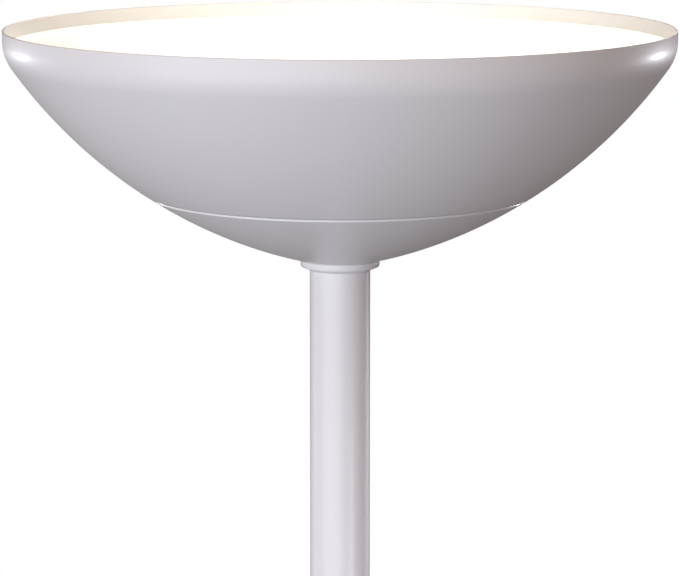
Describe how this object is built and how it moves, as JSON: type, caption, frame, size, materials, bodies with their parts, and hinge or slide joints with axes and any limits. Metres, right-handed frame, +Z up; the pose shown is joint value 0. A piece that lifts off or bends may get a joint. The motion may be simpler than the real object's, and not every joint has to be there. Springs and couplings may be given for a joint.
{
  "type": "torchiere floor lamp",
  "caption": "Torchiere floor lamp: shallow spun bowl uplight with opal diffuser on a slim round pole with an in-line rotary dimmer and a weighted round base.",
  "frame": {"origin": "centre of the base's underside, on the floor", "axes": "+Z up along the pole, the dimmer knob faces -Y, the supply cord enters at +Y"},
  "size_m": [0.279, 0.279, 1.78],
  "materials": {
    "white_paint": "satin powder coat, off-white, fine texture",
    "opal_acrylic": "opal satin acrylic, emissive when lit",
    "foam": "soft white foam strip",
    "zinc_steel": "bright zinc plate",
    "aluminium": "mill finish",
    "led_board": "white solder mask",
    "led_phosphor": "phosphor gel",
    "driver_board": "green solder mask",
    "driver_parts": "moulded, dark",
    "white_plastic": "fine spark texture, satin",
    "dark_mark": "inlaid, satin",
    "brass_bush": "turned",
    "nylon": "natural nylon",
    "lead_sheath": "smooth flexible sheath",
    "wire_sheath": "smooth silicone",
    "cast_iron": "as cast, black lacquer",
    "foot_pad": "closed-cell foam, matt"
  },
  "bodies": {
    "lamp": {"base_collar": "white_paint", "base_cover": "white_paint", "base_nipple": "zinc_steel", "base_nut": "zinc_steel", "base_pad": "foot_pad", "base_washer": "zinc_steel", "base_weight": "cast_iron", "bowl_shell": "white_paint", "bracket_screws": "zinc_steel", "cord_gland": "nylon", "diffuser": "opal_acrylic", "diffuser_gasket": "foam", "diffuser_ring": "zinc_steel", "dimmer_bushing": "brass_bush", "dimmer_module": "driver_parts", "dimmer_nut": "zinc_steel", "driver_board": "driver_board", "driver_case": "zinc_steel", "driver_components": "driver_parts", "driver_lid": "zinc_steel", "driver_screws": "zinc_steel", "flange_screws": "zinc_steel", "gland_nut": "nylon", "head_bracket": "zinc_steel", "heat_spreader": "aluminium", "joint_studs": "zinc_steel", "lamp_lead": "lead_sheath", "led_board": "led_board", "led_board_screws": "zinc_steel", "led_chips": "led_phosphor", "led_connector": "nylon", "led_wires": "wire_sheath", "lower_pan": "white_paint", "mounting_plate": "zinc_steel", "neck_collar": "white_paint", "neck_nipple": "zinc_steel", "neck_nut": "zinc_steel", "neck_washer": "zinc_steel", "nipple_bushing": "nylon", "plate_grommet": "nylon", "pole_end_inserts": "zinc_steel", "pole_lower": "white_paint", "pole_middle": "white_paint", "pole_upper": "white_paint", "standoff_screws": "zinc_steel", "standoffs": "aluminium", "supply_lead": "lead_sheath", "switch_body": "white_plastic", "switch_cover": "white_plastic", "switch_cover_screws": "zinc_steel", "switch_locknuts": "zinc_steel", "terminal_block": "nylon", "terminal_screws": "zinc_steel", "travel_marks": "dark_mark"},
    "knob": {"dimmer_knob": "white_plastic", "dimmer_shaft": "zinc_steel", "knob_marker": "dark_mark"}
  },
  "joints": [
    {"name": "dimmer_turn", "type": "hinge", "parent": "lamp", "child": "knob", "pos_m": [0, 0, 1.162], "axis": [0, -1, 0], "range_deg": [0, 280]}
  ]
}
